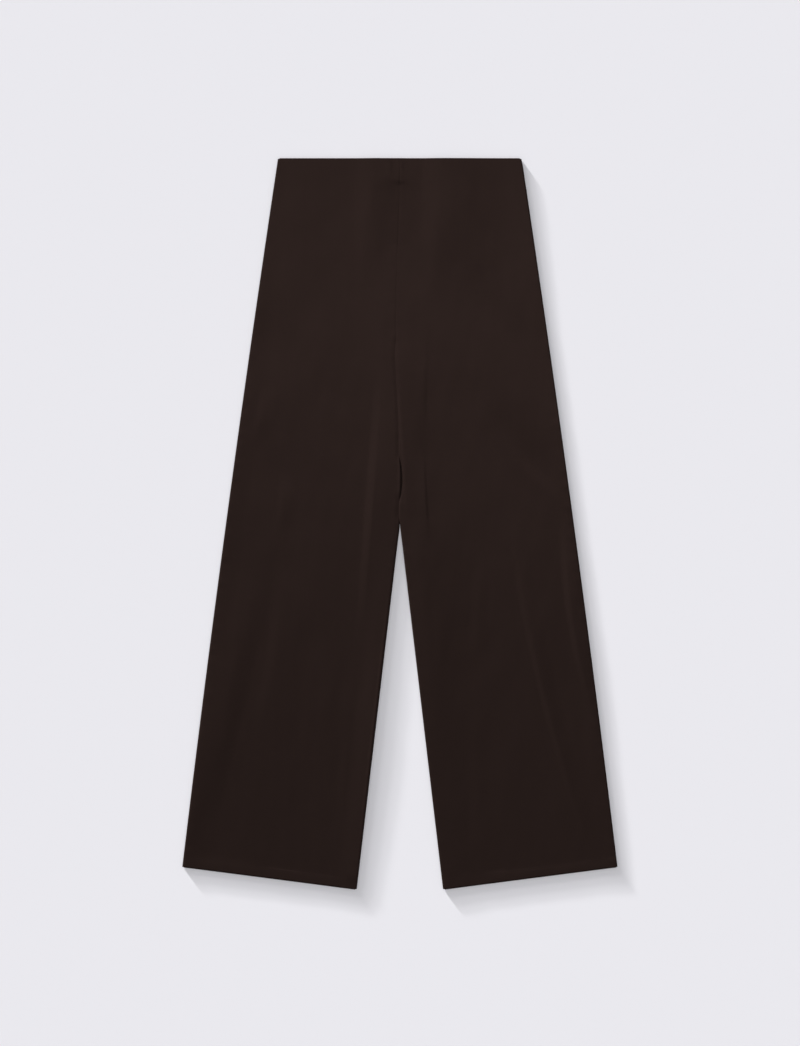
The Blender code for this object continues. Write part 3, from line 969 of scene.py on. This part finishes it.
def add_bump(tree, strength, depth, height):
    """The normal that a relief gives."""
    bump = add_node(tree, "ShaderNodeBump", Strength=strength, Distance=depth, Height=height)
    return bump.outputs["Normal"]


def darker(shade, share):
    """A shade brought down to a share of its light."""
    return tuple(share * value for value in shade[:3]) + (1.0,)


def jersey_material(jersey, knit, mottle):
    """Fine dark jersey: knit relief, faintly uneven colour, a tinted lustre and a soft sheen."""
    tree, shader = new_material("brown_jersey")
    place = tree.nodes.new("ShaderNodeUVMap")
    place.uv_map = CLOTH_MAP
    flat = place.outputs["UV"]
    shades = (jersey.shade, jersey.deep_shade)
    add_mottle(tree, shader, mottle, flat, *shades, jersey.roughness, JERSEY_FLECKS)
    relief = add_group(tree, knit, Cloth=flat)
    set_inputs(relief, Wale_Pitch=jersey.wale_pitch, Course_Pitch=jersey.course_pitch)
    bump = add_bump(tree, KNIT_STRENGTH, jersey.knit_depth, relief.outputs["Height"])
    across = tree.nodes.new("ShaderNodeTangent")
    across.direction_type = "UV_MAP"
    across.uv_map = CLOTH_MAP
    set_inputs(
        shader,
        Normal=bump,
        Metallic=jersey.lustre,
        Specular_IOR_Level=0.0,
        Specular_Tint=tuple(jersey.edge_lustre),
        Tangent=across.outputs["Tangent"],
        Anisotropic=jersey.wale_lustre,
        Sheen_Weight=jersey.sheen,
        Sheen_Roughness=jersey.sheen_spread,
        Sheen_Tint=tuple(jersey.sheen_tint),
    )


def thread_material(hem, mottle):
    """Spun sewing thread, a shade darker than the jersey."""
    tree, shader = new_material("brown_thread")
    place = tree.nodes.new("ShaderNodeTexCoord").outputs["Object"]
    shades = (hem.thread_shade, darker(hem.thread_shade, THREAD_DARKER))
    add_mottle(tree, shader, mottle, place, *shades, THREAD_ROUGHNESS, THREAD_FLECKS)
    twist = add_node(tree, "ShaderNodeTexWave", Vector=place, Scale=TWIST_SCALE)
    twist.bands_direction = "DIAGONAL"
    bump = add_bump(tree, TWIST_STRENGTH, TWIST_DEPTH, twist.outputs["Fac"])
    set_inputs(shader, Normal=bump, Specular_IOR_Level=THREAD_GLOSS)


def floor_material(stage, mottle):
    """Smooth pale floor, very slightly uneven."""
    tree, shader = new_material("pale_floor")
    place = tree.nodes.new("ShaderNodeTexCoord").outputs["Object"]
    shades = (stage.floor_shade, darker(stage.floor_shade, FLOOR_DARKER))
    add_mottle(tree, shader, mottle, place, *shades, FLOOR_ROUGHNESS, FLOOR_FLECKS)
    set_inputs(shader, Specular_IOR_Level=0.0)


# -------------------------------- operators


class PANTS_OT_materials(bpy.types.Operator):
    """Make the jersey, the thread and the floor finish"""

    bl_idname = "pants.materials"
    bl_label = "Make Materials"

    def execute(self, context):
        knit = knit_group()
        mottle = mottle_group()
        jersey_material(context.scene.pants_jersey, knit, mottle)
        thread_material(context.scene.pants_hem, mottle)
        floor_material(context.scene.pants_stage, mottle)
        return {"FINISHED"}


class PANTS_OT_hem_stitching(bpy.types.Operator):
    """Sew the twin rows of stitches of all four hems"""

    bl_idname = "pants.hem_stitching"
    bl_label = "Sew Hem Stitching"

    def execute(self, context):
        cloth = context.scene.pants_cloth
        hem = context.scene.pants_hem
        shape, faces = model_stitch(hem)
        for panel in FRONTS + BACKS:
            add_hem_stitches(panel, cloth, hem, shape, faces)
        return {"FINISHED"}


class PANTS_OT_back_legs(bpy.types.Operator):
    """Lay the two back leg panels on the floor"""

    bl_idname = "pants.back_legs"
    bl_label = "Lay Back Legs"

    def execute(self, context):
        cloth = context.scene.pants_cloth
        hem = context.scene.pants_hem
        for panel in BACKS:
            add_sheet(panel, cloth, hem, cloth.back_coarseness)
        return {"FINISHED"}


class PANTS_OT_front_legs(bpy.types.Operator):
    """Lay the two front leg panels on the backs"""

    bl_idname = "pants.front_legs"
    bl_label = "Lay Front Legs"

    def execute(self, context):
        cloth = context.scene.pants_cloth
        hem = context.scene.pants_hem
        for panel, beneath in zip(FRONTS, BACKS):
            add_sheet(panel, cloth, hem, 1.0)
        return {"FINISHED"}


class PANTS_OT_stage(bpy.types.Operator):
    """Set the floor, the light and the camera"""

    bl_idname = "pants.stage"
    bl_label = "Set Stage"

    def execute(self, context):
        stage = context.scene.pants_stage
        add_floor()
        add_sky(context.scene, stage.sky)
        for light in LIGHTS:
            add_sun(light, getattr(stage, light.setting))
        add_camera(context.scene, stage)
        context.scene.view_settings.view_transform = "Standard"
        return {"FINISHED"}


def add_floor():
    """A wide plane just below the cloth."""
    bpy.ops.object.select_all(action="DESELECT")
    bpy.ops.mesh.primitive_plane_add(size=FLOOR_SIZE, location=(0.0, 0.0, -FLOOR_DROP))
    floor = bpy.context.object
    floor.name = "floor"
    floor.data.materials.append(bpy.data.materials["pale_floor"])


def add_sky(scene, strength):
    """Even white light from all round."""
    world = bpy.data.worlds.new("even_sky")
    world.use_nodes = True
    background = world.node_tree.nodes["Background"]
    set_inputs(background, Color=(1.0, 1.0, 1.0, 1.0), Strength=strength)
    scene.world = world


def add_sun(light, strength):
    """A broad sun that gives level ground its share of the strength."""
    lamp = bpy.data.lights.new(light.name, "SUN")
    height = math.radians(light.elevation)
    lamp.energy = light.share * strength / math.sin(height)
    lamp.angle = math.radians(light.size)
    sun = bpy.data.objects.new(light.name, lamp)
    flat = Vector((*light.side, 0.0)).normalized()
    direction = flat * math.cos(height) + Vector((0.0, 0.0, math.sin(height)))
    sun.rotation_euler = direction.to_track_quat("Z", "Y").to_euler()
    sun.location = LIGHT_DISTANCE * direction
    bpy.context.collection.objects.link(sun)


def add_camera(scene, stage):
    """A camera straight above the cloth."""
    lens = bpy.data.cameras.new("camera")
    lens.lens = stage.lens
    lens.sensor_width = SENSOR_WIDTH
    camera = bpy.data.objects.new("camera", lens)
    height = stage.view_length * stage.lens / lens.sensor_width
    camera.location = (*VIEW_CENTRE, VIEW_LEVEL + height)
    bpy.context.collection.objects.link(camera)
    scene.camera = camera


class PANTS_PT_sidebar(bpy.types.Panel):
    """Lists the sizes and the steps of the pants"""

    bl_idname = "PANTS_PT_sidebar"
    bl_label = "Palazzo Pants"
    bl_space_type = "VIEW_3D"
    bl_region_type = "UI"
    bl_category = "Pants"

    def draw(self, context):
        layout = self.layout
        for name, title, _ in SETTINGS:
            box = layout.box()
            box.label(text=title)
            settings = getattr(context.scene, name)
            for key in settings.__annotations__:
                box.prop(settings, key)
        for step in STEPS:
            layout.operator(step.bl_idname)


SETTINGS = (
    ("pants_cloth", "Cloth", PantsClothSettings),
    ("pants_jersey", "Jersey", PantsJerseySettings),
    ("pants_hem", "Hem Stitching", PantsHemSettings),
    ("pants_stage", "Stage", PantsStageSettings),
)
STEPS = (
    PANTS_OT_materials,
    PANTS_OT_hem_stitching,
    PANTS_OT_back_legs,
    PANTS_OT_front_legs,
    PANTS_OT_stage,
)


def register():
    """Adds the settings, the operators and the panel."""
    for name, _, settings in SETTINGS:
        bpy.utils.register_class(settings)
        setattr(bpy.types.Scene, name, bpy.props.PointerProperty(type=settings))
    for step in STEPS:
        bpy.utils.register_class(step)
    bpy.utils.register_class(PANTS_PT_sidebar)


def unregister():
    """Removes them again."""
    bpy.utils.unregister_class(PANTS_PT_sidebar)
    for step in reversed(STEPS):
        bpy.utils.unregister_class(step)
    for name, _, settings in reversed(SETTINGS):
        delattr(bpy.types.Scene, name)
        bpy.utils.unregister_class(settings)


def main():
    """Builds the pants and their stage."""
    register()
    bpy.ops.pants.materials()
    bpy.ops.pants.hem_stitching()
    bpy.ops.pants.back_legs()
    bpy.ops.pants.front_legs()
    bpy.ops.pants.stage()


if __name__ == "__main__":
    main()
